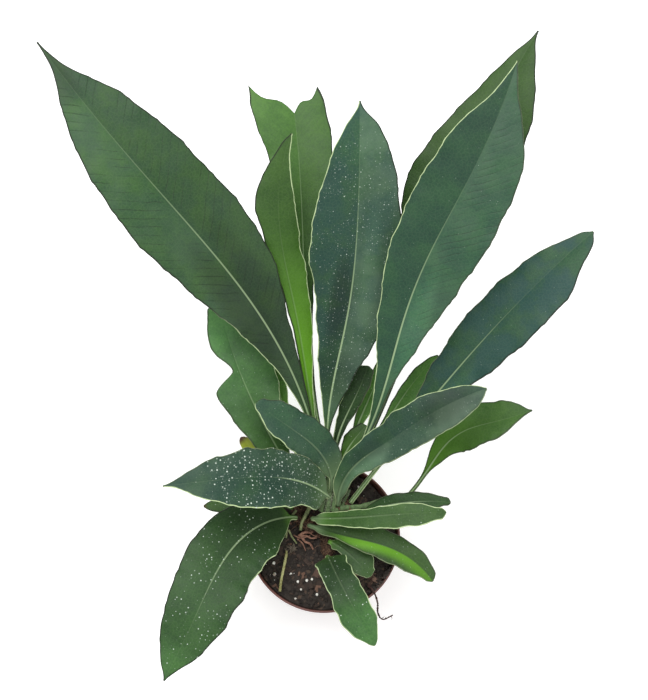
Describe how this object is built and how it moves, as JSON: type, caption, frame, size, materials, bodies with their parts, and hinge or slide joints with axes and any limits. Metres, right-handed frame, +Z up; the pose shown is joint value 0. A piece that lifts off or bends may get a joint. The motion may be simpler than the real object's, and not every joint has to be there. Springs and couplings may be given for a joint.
{
  "type": "potted strap-leaf fern",
  "caption": "Evergreen fern with undivided leathery strap fronds rising from a creeping rhizome, growing in a round thin-walled nursery pot filled with bark potting mix.",
  "frame": {"origin": "centre of the pot's flat base, on the surface that it stands on", "axes": "+Z up, +X to the picture's right, +Y to the picture's top, the side that the tall fronds lean to"},
  "size_m": [0.4051, 0.4563, 0.3141],
  "materials": {
    "pot_plastic": "satin",
    "potting_mix": "matte",
    "rhizome_bark": "matte",
    "frond_deep_green": "satin",
    "frond_blue_green": "satin",
    "frond_fresh_green": "satin",
    "dead_stalk": "matte",
    "root": "matte"
  },
  "bodies": {
    "root": {"pot": "pot_plastic", "potting_mix": "potting_mix", "rhizome": "rhizome_bark", "frond_far_left": "frond_deep_green", "frond_forked": "frond_deep_green", "frond_narrow_back": "frond_fresh_green", "frond_tall_centre": "frond_blue_green", "frond_tall_right": "frond_blue_green", "frond_rear_right": "frond_deep_green", "frond_long_right": "frond_blue_green", "frond_under_right": "frond_deep_green", "frond_short_right": "frond_blue_green", "frond_low_right": "frond_deep_green", "frond_small_right": "frond_deep_green", "frond_strap_right": "frond_deep_green", "frond_front_right": "frond_fresh_green", "frond_front": "frond_deep_green", "frond_front_left": "frond_deep_green", "frond_speckled_left": "frond_blue_green", "frond_short_centre": "frond_blue_green", "frond_notched_left": "frond_deep_green", "frond_young_front": "frond_deep_green", "frond_small_left": "frond_deep_green", "frond_withering_left": "frond_fresh_green", "frond_narrow_left": "frond_deep_green", "frond_young_centre": "frond_deep_green", "frond_slim_centre": "frond_deep_green", "frond_sprout": "frond_deep_green", "dead_stalk": "dead_stalk", "hanging_root": "root"}
  },
  "joints": []
}
